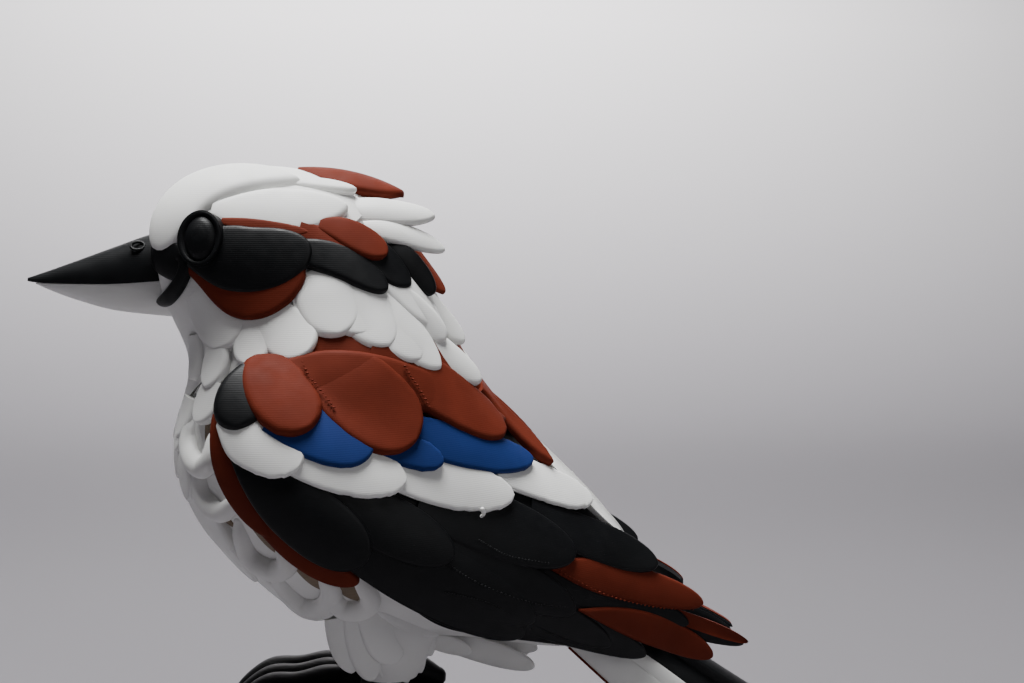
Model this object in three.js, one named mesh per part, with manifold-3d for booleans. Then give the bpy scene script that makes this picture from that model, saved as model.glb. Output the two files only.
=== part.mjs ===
// Perched kookaburra figure in four colours of plastic, on a low rounded rock.
// Millimetres, +Z up. The bird faces -X and its left side is -Y.
// The origin is the centre of the rock's flat underside.
//
// The figure is a smooth core (head, neck and torso) with overlapping feathers laid on it in tiers.
// A feather is a closed tile that follows a guide surface: it starts at its root, widens, ends in a
// round tip and lifts a little towards the tip. Every colour is a piece of its own, and a lower piece
// is cut back to clear the pieces that lie over it.

import * as THREE from 'three';
import { mergeVertices } from 'three/addons/utils/BufferGeometryUtils.js';
import Module from 'manifold-3d';

const wasm = await Module();
wasm.setup();

// ---- driving dimensions -------------------------------------------------------------------------
const GAP = 0.34;                 // clearance cut between two neighbouring pieces
const ON = -0.4;                  // depth of the back of a feather that lies on another piece
const IN = 1.2;                   // depth of the back of a feather that grows from its own piece
const CORE_SIDES = 16;            // points round the core
const CORNER_DROP = 0.45;         // how far a feather's edge lies below its middle

const CORE_SPLIT = 6.3;           // section of the core where the head meets the torso

const EYE_RADIUS = 5.0;
const EYE_RISE = 2.4;             // how far the eye stands out of the mask

const ROCK_LENGTH = 62;
const ROCK_BREADTH = 52;
const ROCK_HEIGHT = 20.4;

const FOOT_SPREAD = 10;           // each foot's distance from the middle plane
const TOE_SPREAD = 5;
const TOE_RADIUS = 3.4;

// ---- colours ------------------------------------------------------------------------------------
const plastic = (color) => new THREE.MeshStandardMaterial({ color, roughness: 0.5, metalness: 0 });
const WHITE = plastic(0xd9d8d4);
const BROWN = plastic(0x7a3219);
const BLUE = plastic(0x22467f);
const BLACK = plastic(0x121315);

// ---- small vector helpers -----------------------------------------------------------------------
const add = (a, b, k = 1) => [a[0] + b[0] * k, a[1] + b[1] * k, a[2] + b[2] * k];
const sub = (a, b) => add(a, b, -1);
const dot = (a, b) => a[0] * b[0] + a[1] * b[1] + a[2] * b[2];
const cross = (a, b) => [
  a[1] * b[2] - a[2] * b[1],
  a[2] * b[0] - a[0] * b[2],
  a[0] * b[1] - a[1] * b[0],
];
const unit = (a) => {
  const n = Math.hypot(...a) || 1;
  return [a[0] / n, a[1] / n, a[2] / n];
};
const mix = (a, b, t) => a + (b - a) * t;

// a smooth curve through the rows of a table, at row t; past the ends it runs on straight
function through(table, t) {
  const n = table.length;
  const s = Math.min(Math.max(t, 0), n - 1);
  const i = Math.min(Math.floor(s), n - 2);
  const f = s - i;
  const b = table[i];
  const c = table[i + 1];
  return b.map((_, k) => {
    const before = i > 0 ? table[i - 1][k] : 2 * b[k] - c[k];
    const after = i < n - 2 ? table[i + 2][k] : 2 * c[k] - b[k];
    return 0.5 * (2 * b[k] + (c[k] - before) * f
      + (2 * before - 5 * b[k] + 4 * c[k] - after) * f * f
      + (3 * b[k] - before - 3 * c[k] + after) * f ** 3);
  });
}

// ---- guide surfaces -----------------------------------------------------------------------------
// The core, from the forehead (0) over the crown, round the nape and down to the tail root (16):
// front x, front z, back x, back z and half breadth of each slanted oval section.
const CORE = [
  [-38.9, 109.9, -39.6, 114.9, 4.5],
  [-38.3, 103.2, -38.1, 120.7, 10],
  [-36.9, 98.9, -33.4, 125.5, 13],
  [-35.1, 94.6, -26.2, 128.1, 15],
  [-34.2, 91.4, -17.2, 128.5, 16.5],
  [-34.3, 87.9, -8.1, 127.0, 17.5],
  [-35.1, 83.9, -0.3, 123.5, 18.5],
  [-36.2, 79.6, 5.5, 117.3, 20.5],
  [-36.9, 74.8, 9.8, 108.6, 23.5],
  [-36.4, 69.2, 14.1, 99.4, 27],
  [-34.4, 62.7, 19.3, 89.2, 29],
  [-30.3, 55.4, 27.0, 78.6, 30],
  [-23.0, 47.8, 35.2, 68.5, 29],
  [-12.4, 41.0, 43.5, 58.8, 25.5],
  [0.7, 36.8, 51.5, 49.4, 20.5],
  [15.0, 34.8, 58.3, 40.2, 14.5],
  [29.0, 32.0, 63.1, 33.0, 8.5],
];

// core: section number and degrees round from the back (0) by the left side (90) to the breast (180)
const core = {
  step: [0.01, 0.2],
  at(s, degrees) {
    const [fx, fz, bx, bz, w] = through(CORE, s);
    const c = Math.cos(degrees * Math.PI / 180);
    return [
      (fx + bx) / 2 + (bx - fx) / 2 * c,
      -w * Math.sin(degrees * Math.PI / 180),
      (fz + bz) / 2 + (bz - fz) / 2 * c,
    ];
  },
  outward(s, degrees, p) {
    const [fx, fz, bx, bz] = through(CORE, s);
    return sub(p, [(fx + bx) / 2, 0, (fz + bz) / 2]);
  },
};

// folded wing: x and z of the side view give the breadth, from sections square to its long axis
const WING_SLOPE = 27 * Math.PI / 180;
const WING_ORIGIN = [-30, 82];
const WING = [                    // half breadth, place of the widest line, curvature, every 12 mm
  [25.5, 2, 0.040],
  [31.5, 0, 0.036],
  [35, -3, 0.031],
  [36, -6, 0.027],
  [34.5, -8, 0.026],
  [31, -9, 0.026],
  [26, -8, 0.026],
  [20, -6, 0.026],
  [14, -4, 0.024],
  [9.5, -2, 0.018],
  [6.5, 0, 0.010],
  [5, 2, 0.010],
];
const wingAlong = (x, z) => (x - WING_ORIGIN[0]) * Math.cos(WING_SLOPE)
  - (z - WING_ORIGIN[1]) * Math.sin(WING_SLOPE);
const wingUp = (x, z) => (x - WING_ORIGIN[0]) * Math.sin(WING_SLOPE)
  + (z - WING_ORIGIN[1]) * Math.cos(WING_SLOPE);
const wing = {
  step: [0.05, 0.05],
  at(x, z) {
    const [breadth, middle, curve] = through(WING, (wingAlong(x, z) + 6) / 12);
    const y = breadth - curve * (wingUp(x, z) - middle) ** 2;
    return [x, -0.5 * (y + 2.5 + Math.hypot(y - 2.5, 2)), z];
  },
  outward: () => [0, -1, 0],
};
const wingPlace = (a, b) => [
  WING_ORIGIN[0] + a * Math.cos(WING_SLOPE) + b * Math.sin(WING_SLOPE),
  WING_ORIGIN[1] - a * Math.sin(WING_SLOPE) + b * Math.cos(WING_SLOPE),
];

// thigh: x and z of the side view
const thigh = {
  step: [0.05, 0.05],
  at: (x, z) => [x, -(20 - (x + 2) ** 2 / 32 - (z - 45) ** 2 / 45), z],
  outward: () => [0, -1, 0],
};

// a free feather's own guide: a straight rib with the vane bent down on both sides of it
function rib(root, tip, up, radius) {
  const run = unit(sub(tip, root));
  const normal = unit(add(up, run, -dot(up, run)));
  const side = cross(normal, run);
  return {
    step: [0.05, 0.05],
    length: Math.hypot(...sub(tip, root)),
    at: (a, b) => add(add(add(root, run, a), side, b), normal, -b * b / (2 * radius)),
    outward: () => normal,
  };
}

// the surface's point, tangents and outward normal at a place
function frameAt(guide, [a, b]) {
  const [ha, hb] = guide.step;
  const p = guide.at(a, b);
  const pa = sub(guide.at(a + ha, b), guide.at(a - ha, b)).map((v) => v / (2 * ha));
  const pb = sub(guide.at(a, b + hb), guide.at(a, b - hb)).map((v) => v / (2 * hb));
  let n = unit(cross(pa, pb));
  if (dot(n, guide.outward(a, b, p)) < 0) n = n.map((v) => -v);
  return { p, pa, pb, n };
}

// move a place on the guide so that its point goes by a tangent vector
function slide(guide, place, vector) {
  const { pa, pb } = frameAt(guide, place);
  const aa = dot(pa, pa);
  const bb = dot(pb, pb);
  const ab = dot(pa, pb);
  const va = dot(vector, pa);
  const vb = dot(vector, pb);
  const d = aa * bb - ab * ab + 1e-9;
  return [place[0] + (va * bb - vb * ab) / d, place[1] + (vb * aa - va * ab) / d];
}

// ---- closed meshes ------------------------------------------------------------------------------
// rings of points, each the same length, closed at both ends; a one-point ring is a tip
function skin(rings) {
  const points = [];
  const starts = rings.map((ring) => {
    const start = points.length;
    ring.forEach((p) => points.push(p));
    return start;
  });
  const faces = [];
  for (let i = 0; i + 1 < rings.length; i += 1) {
    const m = rings[i].length;
    const n = rings[i + 1].length;
    const count = Math.max(m, n);
    for (let j = 0; j < count; j += 1) {
      const a = starts[i] + j % m;
      const b = starts[i] + (j + 1) % m;
      const c = starts[i + 1] + (j + 1) % n;
      const d = starts[i + 1] + j % n;
      if (a !== b) faces.push([a, b, c]);
      if (c !== d) faces.push([a, c, d]);
    }
  }
  const cap = (start, n, flip) => {
    for (let j = 1; j + 1 < n; j += 1) {
      faces.push(flip ? [start, start + j + 1, start + j] : [start, start + j, start + j + 1]);
    }
  };
  cap(starts[0], rings[0].length, true);
  cap(starts[starts.length - 1], rings[rings.length - 1].length, false);
  return { points, faces };
}

const mirror = ({ points, faces }) => ({
  points: points.map(([x, y, z]) => [x, -y, z]),
  faces: faces.map(([a, b, c]) => [a, c, b]),
});

function solid({ points, faces }) {
  // a skin wound inside out has a negative volume, and its faces are turned
  const volume = faces.reduce((v, [a, b, c]) => v + dot(points[a], cross(points[b], points[c])), 0);
  const outward = volume > 0 ? faces : faces.map(([a, b, c]) => [a, c, b]);
  const geometry = new THREE.BufferGeometry();
  geometry.setAttribute('position', new THREE.Float32BufferAttribute(points.flat(), 3));
  geometry.setIndex(outward.flat());
  const merged = mergeVertices(geometry, 1e-4);
  const body = new wasm.Manifold(new wasm.Mesh({
    numProp: 3,
    vertProperties: new Float32Array(merged.attributes.position.array),
    triVerts: new Uint32Array(merged.index.array),
  }));
  return body;
}

// ---- one feather --------------------------------------------------------------------------------
// root and tip are places on the guide; width is the vane's full width; lift is the height of its
// face over the guide at root and tip, depth how far its back lies under it (one value, or root and
// tip), under the extra depth cleared below it; bow bends it sideways; by makes it pass a place; base, widest and blunt set the outline.
function feather(guide, root, tip, width, {
  bow = 0, base = 0.8, widest = 0.45, blunt = 2.4, lift = [1, 2], depth = ON, camber = 0,
  by = null, rows = width > 8.2 ? 5 : 4, flat = true, grow = 0, thick = 0, under = 0,
} = {}) {
  const plain = (u) => {
    if (!by) return [mix(root[0], tip[0], u), mix(root[1], tip[1], u)];
    return [0, 1].map((k) => {
      const bend = 2 * (by[k] - 0.25 * root[k] - 0.25 * tip[k]);
      return root[k] * (1 - u) ** 2 + 2 * bend * u * (1 - u) + tip[k] * u ** 2;
    });
  };
  const tangent = (path, u) => unit(sub(
    guide.at(...path(Math.min(u + 0.02, 1))),
    guide.at(...path(Math.max(u - 0.02, 0))),
  ));
  const middle = (u) => {
    const place = plain(u);
    const side = cross(frameAt(guide, place).n, tangent(plain, u));
    return slide(guide, place, side.map((v) => v * bow * 4 * u * (1 - u)));
  };
  const across = flat ? [-1, 0, 1] : [-1, -0.6, 0, 0.6, 1];
  const sunk = Array.isArray(depth) ? depth : [depth, depth];
  const backs = width > 9.8 && sunk[0] < 0.5 ? [1, 0, -1] : [1, -1];
  const rings = [];
  for (let i = 0; i < rows; i += 1) {
    const u = Math.sin(i / (rows - 1) * Math.PI / 2);
    let place = middle(u);
    const run = tangent(middle, u);
    const end = i === 0 ? -1 : i === rows - 1 ? 1 : 0;
    if (grow && end) place = slide(guide, place, run.map((v) => v * end * grow));
    const side = unit(cross(frameAt(guide, place).n, run));
    const shape = u < widest
      ? base + (1 - base) * Math.sin(Math.PI / 2 * u / widest)
      : Math.sqrt(Math.max(0, 1 - ((u - widest) / (1 - widest)) ** blunt));
    const half = end === 1 ? 0 : width / 2 * shape + grow;
    const spot = (v) => {
      const way = side.map((k) => k * half * v / 2);
      const first = slide(guide, place, way);
      const n = frameAt(guide, first).n;
      return frameAt(guide, slide(guide, first, add(way, n, -dot(way, n))));
    };
    const height = mix(lift[0], lift[1], u * u) + camber * 4 * u * (1 - u) + grow;
    const face = (v) => {
      const { p, n } = spot(v);
      return add(p, n, height - CORNER_DROP * (end === 1 ? 1 : v ** 4));
    };
    const back = (v) => {
      const { p, n } = spot(v);
      return add(p, n, (thick ? height - thick - grow : -mix(sunk[0], sunk[1], Math.min(1, 3 * u))) - grow - (grow && under));
    };
    rings.push(end === 1 ? [face(0), back(0)] : [...across.map(face), ...backs.map(back)]);
  }
  return featherSkin(rings, across.length);
}

// the last ring of a feather is an upright edge: its first point ends the face, its second the back
function featherSkin(rings, faceCount) {
  const points = rings.flat();
  const n = rings[0].length;
  const last = rings.length - 1;
  const faces = [];
  for (let i = 0; i < last; i += 1) {
    for (let j = 0; j < n; j += 1) {
      const a = i * n + j;
      const b = i * n + (j + 1) % n;
      if (i < last - 1) {
        faces.push([a, b, b + n], [a, b + n, a + n]);
      } else {
        const top = last * n;
        const ea = j < faceCount ? top : top + 1;
        const eb = (j + 1) % n < faceCount ? top : top + 1;
        faces.push([a, b, eb]);
        if (ea !== eb) faces.push([a, eb, ea]);
      }
    }
  }
  for (let j = 1; j + 1 < n; j += 1) faces.push([0, j + 1, j]);
  return { points, faces };
}

// ---- pieces, from the uppermost layer to the lowest ---------------------------------------------
const layers = [];
const laid = (make, both) => {
  const body = make(0);
  const clear = make(GAP);
  return both ? [{ body, clear }, { body: mirror(body), clear: mirror(clear) }] : [{ body, clear }];
};
// one node on each side; clearOf names the pieces that already stand clear of it
function pair(name, material, makes, clearOf = []) {
  for (const side of ['left', 'right']) {
    const pieces = makes.map((make) => laid(make, true)[side === 'left' ? 0 : 1]);
    layers.push({ name: `${name}_${side}`, material, pieces, clearOf: clearOf.map((n) => `${n}_${side}`) });
  }
}
// one node for both sides
function whole(name, material, makes, both = true) {
  layers.push({ name, material, pieces: makes.flatMap((make) => laid(make, both)), clearOf: [] });
}
const onCore = (rows, common = {}) => rows.map(([root, tip, width, own = {}]) => (
  (grow) => feather(core, root, tip, width, { ...common, ...own, grow })));
const onWing = (rows, common = {}) => rows.map(([root, tip, width, own = {}]) => (
  (grow) => feather(wing, root, tip, width, { ...common, ...own, grow })));
const onThigh = (rows, common = {}) => rows.map(([root, tip, width, own = {}]) => (
  (grow) => feather(thigh, root, tip, width, { ...common, ...own, grow })));
const free = (rows, common = {}) => rows.map(([root, tip, width, up, radius, own = {}]) => (grow) => {
  const guide = rib(root, tip, up, radius);
  return feather(guide, [0, 0], [guide.length, 0], width, {
    lift: [0, 0], thick: 1.8, ...common, ...own, grow,
  });
});

// a rounded bar along points with radii, closed by domes
function bar(points, sides = 5) {
  return (grow) => {
    const rings = [];
    const n = points.length;
    points.forEach(([x, y, z, r, flat = 1], i) => {
      const before = points[Math.max(i - 1, 0)];
      const after = points[Math.min(i + 1, n - 1)];
      const run = unit(sub(after, before));
      const up = Math.abs(run[2]) > 0.8 ? [1, 0, 0] : [0, 0, 1];
      const side = unit(cross(up, run));
      const top = cross(run, side);
      const ring = (back, k) => Array.from({ length: sides }, (_, j) => {
        const t = 2 * Math.PI * (j + 0.5) / sides;
        const out = (r + grow) * k;
        return add(add(add([x, y, z], run, back), side, out * Math.cos(t)), top, out * flat * Math.sin(t));
      });
      const dome = (r + grow) * 0.85;
      if (i === 0) rings.push([add([x, y, z], run, -dome)]);
      rings.push(ring(0, 1));
      if (i === n - 1) rings.push([add([x, y, z], run, dome)]);
    });
    return skin(rings);
  };
}

// eye: a low dome set on the side of the head, turned a little forward
const EYE = { p: frameAt(core, [3.05, 80]).p, n: unit([-0.58, -0.80, 0.14]) };
function eyeDome(grow) {
  const { p, n } = EYE;
  const side = unit(cross([0, 0, 1], n));
  const up = cross(n, side);
  const r = EYE_RADIUS + grow;
  const ring = (height, radius) => Array.from({ length: 14 }, (_, j) => {
    const t = 2 * Math.PI * j / 14;
    return add(add(add(p, n, height), side, radius * Math.cos(t)), up, radius * Math.sin(t));
  });
  const rise = EYE_RISE + grow;
  return skin([
    ring(-0.8 - grow, r),
    ...[0.42, 0.78].map((t) => ring(rise * Math.sin(t * Math.PI / 2), r * Math.cos(t * Math.PI / 2))),
    [add(p, n, rise)],
  ]);
}
pair('eye', BLACK, [eyeDome]);

// bill: x, gape z, ridge z (or keel z), half breadth, from the base to the tip
const BILL_UPPER = [
  [-33, 106.8, 117.2, 7.2],
  [-40.5, 106.2, 115.4, 6.6],
  [-46, 105.8, 113.5, 5.5],
  [-52.5, 105.8, 111.1, 4.2],
  [-58.5, 105.9, 108.9, 2.8],
  [-62.5, 106.0, 107.5, 1.7],
  [-64.5, 106.2, 106.8, 0.7],
];
const BILL_LOWER = [
  [-33, 106.8, 98.9, 6.6],
  [-38, 106.4, 99.3, 6.2],
  [-48, 105.8, 100.5, 4.7],
  [-55.3, 105.8, 102.6, 3.4],
  [-60, 105.9, 104.4, 2.0],
  [-62.6, 106.0, 105.5, 1.0],
];
const billHalf = (table, sense) => (grow) => skin(table.map(([x, gape, edge, half], i) => {
  const reach = i === 0 ? grow : i === table.length - 1 ? -grow : 0;
  const inner = gape + sense * (grow ? -grow : 0.17);
  return Array.from({ length: 9 }, (_, j) => {
    const t = Math.PI * j / 8;
    const y = (half + grow) * Math.cos(t);
    return [x + reach, -sense * y, inner + (edge + sense * grow - inner) * Math.sin(t) ** 0.9];
  });
}));
whole('bill_upper', BLACK, [billHalf(BILL_UPPER, 1)], false);

// dark stripe from the lores round the corner of the gape
pair('gape', BLACK, onCore([
  [[2.45, 90], [1.5, 146], 3.0, { by: [3.0, 112], base: 0.9, widest: 0.5, lift: [1.2, 1.2], rows: 6 }],
]));
whole('bill_lower', WHITE, [billHalf(BILL_LOWER, -1)], false);

// white brow from the bill over the eye, its two rear feathers, and the loose crest behind
whole('head', WHITE, [
  ...onCore([
    [[1.8, 87.5], [4.9, 25], 12.5, { by: [1.95, 42], base: 0.42, lift: [1.0, 1.4], rows: 7, flat: false }],
    [[3.5, 63], [6.0, 35], 9, { bow: -0.6, base: 0.6, lift: [0.8, 1.8] }],
    [[4.4, 30.5], [5.9, 22], 4.8, { lift: [0.8, 2.0], blunt: 2.2 }],
  ], { depth: IN }),
  ...free([
    [[-5.1, -10, 120.9], [13.9, -6, 118.9], 6.0, [0.06, -0.82, 0.57], 7, { bow: 0.6, blunt: 2.2 }],
    [[0.5, -13, 117.8], [15.8, -7, 112.2], 5.4, [0.17, -0.87, 0.47], 7, { bow: 1, blunt: 2.2 }],
  ]),
]);
whole('crown', BROWN, free([
  [[-16.2, 0, 128.7], [8.1, 0, 123.6], 12, [0.21, 0, 0.98], 5, { base: 0.6, camber: 1.4, thick: 2.4, rows: 6, flat: false }],
]), false);

// dark mask behind the eye with the brown cheek under it
pair('mask', BLACK, onCore([
  [[2.6, 90], [6.0, 63.5], 14.0, { bow: -1.6, base: 0.5, widest: 0.5, blunt: 2.8, lift: [1.4, 1.4], depth: ON, camber: 0.2 }],
]));
pair('ear_brown', BROWN, onCore([
  [[5.8, 56], [7.4, 36], 7.2, { base: 0.7, widest: 0.5, blunt: 2.6, lift: [1.2, 2.0] }],
  [[5.5, 58], [6.6, 50.5], 5, { lift: [1.0, 1.0] }],
]));
pair('ear_black', BLACK, [
  ...onCore([
    [[6.0, 66.5], [8.0, 43], 6.5, { blunt: 2.6, lift: [0.9, 1.5] }],
    [[7.1, 41.5], [8.2, 29.5], 7, { blunt: 2.6, lift: [0.9, 1.4] }],
  ], { depth: ON }),
  ...free([[[5.3, -12, 113], [13.3, -10, 103.8], 4.6, [0.26, -0.94, 0.22], 9, { thick: 2.6 }]]),
]);
whole('nape', BROWN, free([
  [[7, -2.2, 115.2], [15.8, -2.6, 103.9], 6.0, [0.68, -0.5, 0.53], 8, { thick: 1.6 }],
]));
pair('cheek', BROWN, onCore([
  [[2.6, 97], [6.2, 70], 20, { bow: -1.3, base: 0.4, widest: 0.5, blunt: 2.6, lift: [1.3, 1.3], rows: 6, depth: ON }],
]));

// white collar round the back of the neck, and the throat
whole('collar', WHITE, [
  ...onCore([
    [[6.6, 70], [8.4, 60], 10.5, { lift: [1.3, 2.0] }],
    [[7.4, 58.5], [9.1, 41], 11, { lift: [1.3, 1.9] }],
    [[7.5, 33], [9.2, 22], 12, { lift: [1.3, 1.8] }],
  ], { depth: ON, rows: 4 }),
  ...free([
    [[5.8, -15, 104.8], [15.5, -14, 95.3], 7.0, [0.3, -0.91, 0.3], 9, { thick: 2.0 }],
    [[10.3, -8, 105.3], [19.6, -7, 94.3], 6.5, [0.54, -0.71, 0.46], 8, { thick: 2.0 }],
    [[7.6, -16, 99.3], [22.5, -12, 87.2], 8.0, [0.41, -0.77, 0.5], 9, { thick: 2.0 }],
  ]),
]);

whole('collar', WHITE, onCore([
  [[7.6, 0], [9.5, 0], 13, { lift: [1.3, 1.6], depth: ON }],
]), false);
whole('head', WHITE, onCore([
  [[3.5, 101.5], [6.0, 120], 14, { base: 0.7, blunt: 2.8, lift: [0.8, 1.2], depth: IN }],
  [[6.0, 92], [8.0, 79.5], 10, { blunt: 2.6, lift: [0.8, 1.4] }],
  [[4.1, 135], [6.0, 143], 4.5, { lift: [0.7, 1.4], depth: IN }],
], { depth: [IN, ON - 0.2], rows: 4 }));

// ---- the folded wing, from the uppermost tier down ----------------------------------------------
const TIER = { depth: -0.28, under: 0.3 };
pair('shoulder', BLACK, onWing([
  [[-18.8, 91.6], [-21.3, 81.4], 9, { bow: -0.8, base: 0.7, blunt: 2.6, lift: [1.8, 1.8] }],
]));
pair('coverts_brown', BROWN, onWing([
  [[-16.5, 92.5], [-12.6, 80.3], 15, { lift: [2.4, 3.2], blunt: 2.6 }],
  [[-5.5, 91.9], [6.3, 76.8], 19, { lift: [2.6, 3.4], depth: -1.3 }],
  [[8.5, 87.0], [24.3, 75.5], 16.5, { lift: [2.6, 3.4], blunt: 2.5 }],
  [[17.4, 83.9], [34.5, 68.7], 9, { lift: [1.8, 2.8], blunt: 2.0 }],
], TIER));
pair('coverts_blue', BLUE, onWing([
  [[-11, 85.1], [-0.7, 75.3], 13, { lift: [1.6, 2.6] }],
  [[0.7, 81.8], [12.8, 72.7], 11, { lift: [1.4, 2.4] }],
  [[13.1, 78.0], [30.7, 69.6], 12, { lift: [1.3, 2.4] }],
], TIER));
pair('coverts_white', WHITE, onWing([
  [[-21.1, 84.3], [-12.6, 75.2], 12.5, { lift: [1.2, 2.2], blunt: 2.6 }],
  [[-10.9, 79.3], [5.5, 69.9], 11.5, { lift: [1.0, 2.0] }],
  [[4.8, 75.4], [26.4, 64.7], 11.5, { lift: [0.8, 1.9] }],
  [[23.8, 70.8], [43.2, 60.9], 10, { lift: [0.8, 1.8], blunt: 2.2 }],
], { ...TIER, widest: 0.4 }));
const BLACK_VANE = { depth: IN, widest: 0.4 };
pair('wing', BLACK, onWing([
  [[-21.4, 79.0], [0.4, 59.0], 11.6, { bow: -1.0, base: 0.5, widest: 0.6, blunt: 3, lift: [0.4, 1.0] }],
  [[-6.5, 71.4], [15.2, 58.0], 10.5, { lift: [0.2, 1.4] }],
  [[9.7, 69.0], [39.1, 54.1], 12.5, { lift: [0.2, 1.4] }],
  [[30.9, 62.9], [57.3, 49.3], 9.5, { lift: [0.2, 1.4] }],
  [[-2.1, 61.8], [28.9, 40.9], 10, { lift: [0.0, 0.6] }],
  [[12.4, 61.4], [38.9, 44.0], 9, { lift: [0.0, 1.1] }],
], BLACK_VANE));
pair('primaries_upper', BROWN, onWing([
  [[36.2, 52.1], [67.4, 40.4], 7, { base: 0.6, lift: [0.2, 1.0], depth: 1.2 }],
  [[56.7, 40.9], [77.6, 31.3], 3.6, { widest: 0.4, lift: [-1.0, -0.6], depth: 2.4 }],
]));
pair('wing', BLACK, onWing([
  [[20.3, 49.8], [55.4, 31.0], 8, { lift: [-0.8, 0.0] }],
  [[22.2, 52.4], [47.4, 34.8], 7, { lift: [-0.4, 0.3] }],
  [[32.0, 51.3], [64.3, 36.9], 7, { lift: [-0.4, 0.4], depth: 2.4 }],
], BLACK_VANE));
pair('primaries_lower', BROWN, onWing([
  [[42.8, 40.8], [69.8, 29.0], 6.5, { base: 0.4, lift: [-0.6, 0.2], depth: 2.2 }],
]));

// the wing's own board under its feathers: place of the lower and the upper edge along the long axis
const BOARD = [                   // along, lower edge, upper edge, thickness
  [1.6, 3.4, 6.8, 5],
  [7, -0.4, 15.6, 7],
  [17, -4.6, 20.6, 8],
  [30, -8.2, 24.6, 8],
  [44, -11.8, 25.0, 6.4],
  [56, -13.6, 21.6, 5.5],
  [70, -11.8, 16.8, 4.6],
  [86, -9.4, 12.4, 3.6],
];
function wingBoard(grow) {
  return skin(BOARD.map(([along, low, high, thick], i) => {
    const reach = i === 0 ? -grow : i === BOARD.length - 1 ? grow : 0;
    const at = (f, depth, inner) => {
      const b = mix(low - grow, high + grow, f);
      const [x, , z] = wing.at(...wingPlace(along + reach, b)).map((v, k) => (k === 1 ? 0 : v));
      const y = -wing.at(...wingPlace(along + reach, b))[1];
      return [x, -(inner ? Math.max(y - depth, 0.9 - grow * 1.6) : y - depth), z];
    };
    return [
      ...[0, 0.33, 0.67, 1].map((f) => at(f, 0.35 - grow * 1.4, false)),
      ...[1, 0.5, 0].map((f) => at(f, thick + grow * 1.5, true)),
    ];
  }));
}
// the hollow in the torso's side that takes the board and every tier of feathers on it
const wingRoom = () => skin(BOARD.map(([along, low, high, thick], i) => {
  const reach = i === 0 ? -3 : i === BOARD.length - 1 ? 8 : 0;
  const at = (f, inner) => {
    const [a, b] = wingPlace(along + reach, mix(low - 1.2, high + 3, f));
    const y = -wing.at(a, b)[1];
    return [a, -(inner ? Math.max(y - thick - GAP * 1.5, 0.35) : y + 8), b];
  };
  return [...[0, 0.33, 0.67, 1].map((f) => at(f, false)), ...[1, 0.67, 0.33, 0].map((f) => at(f, true))];
}));
pair('wing', BLACK, [
  wingBoard,
  ...onWing([[[53.5, 40.0], [76.4, 30.4], 5.0, { lift: [-1.2, -1.2] }]], { depth: 3.6 }),
], ['shoulder', 'coverts_brown', 'coverts_blue', 'coverts_white']);
pair('wing_edge', BROWN, onWing([
  [[-24.9, 84.3], [-15.8, 62.6], 6.2, { bow: -3.2, base: 0.6, widest: 0.5, lift: [-0.6, -0.4] }],
  [[-17.3, 65.4], [-0.8, 53.2], 8.0, { bow: -1.0, blunt: 2.6, lift: [-0.6, -0.4] }],
], { depth: 3 }));

// ---- breast, belly, thighs and back --------------------------------------------------------------
const THIGH = [                   // z, centre x, centre y, half length, half breadth
  [29.4, 4.4, -10.4, 5.2, 4.4],
  [34, 3.6, -10.8, 8.4, 6.4],
  [40, 3.2, -11.4, 10.4, 8.0],
  [47, 3.4, -11.6, 11.0, 8.2],
];
const thighCore = (grow) => skin(THIGH.map(([z, x, y, a, b], i) => {
  const reach = i === 0 ? -grow : i === THIGH.length - 1 ? grow : 0;
  return Array.from({ length: 12 }, (_, j) => {
    const t = 2 * Math.PI * j / 12;
    return [x + (a + grow) * Math.cos(t), y + (b + grow) * Math.sin(t), z + reach];
  });
}));
whole('torso', WHITE, [
  thighCore,
  ...onThigh([
    [[-6.2, 43.4], [-2.6, 31.8], 6.5, { blunt: 2, lift: [-0.5, 0.2] }],
    [[-0.1, 45.5], [2.5, 29.8], 12, { blunt: 2.6, lift: [0.0, 0.8] }],
    [[8.6, 38.4], [7.4, 28.2], 7.0, { blunt: 1.9, lift: [0.0, 0.6] }],
    [[4.7, 45.5], [6.8, 35.2], 11, { blunt: 2.6, lift: [0.4, 1.0] }],
  ], { depth: 2.5 }),
  ...onCore([
    [[7.3, 138.5], [9.2, 137.5], 9.0],
    [[9.1, 133], [10.4, 140], 8.5],
    [[10.5, 129], [11.8, 137], 9.0],
    [[11.4, 121], [12.8, 145], 9.5],
    [[12.0, 108.5], [12.9, 128], 10.5, { blunt: 2.8 }],
  ], { base: 0.9, widest: 0.55, blunt: 2.6, lift: [0.4, 1.2], depth: IN, rows: 4 }),
  ...onCore([
    [[6.6, 146], [8.0, 151.5], 6],
    [[6.6, 122], [7.9, 132.5], 8],
    [[8.4, 152], [9.8, 153.5], 6.5],
    [[9.7, 149], [11.1, 147], 7],
    [[11.5, 141], [12.8, 149], 7],
  ], { lift: [0.7, 1.4], blunt: 2.2, depth: IN }),
  ...free([
    [[16, -6, 34.5], [33.5, -5, 27.6], 6, [-0.06, -0.98, -0.16], 9],
  ], { thick: 2.4 }),
]);
pair('mantle', BROWN, onCore([
  [[7.6, 75], [9.8, 46], 14, { lift: [1.1, 1.3] }],
  [[8.6, 54.5], [10.4, 25], 13, { lift: [1.2, 1.5] }],
], { depth: ON }));
whole('back', BROWN, onCore([
  [[9.0, 0], [11.8, 0], 14, { lift: [1.3, 1.6], depth: ON }],
]), false);

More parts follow.
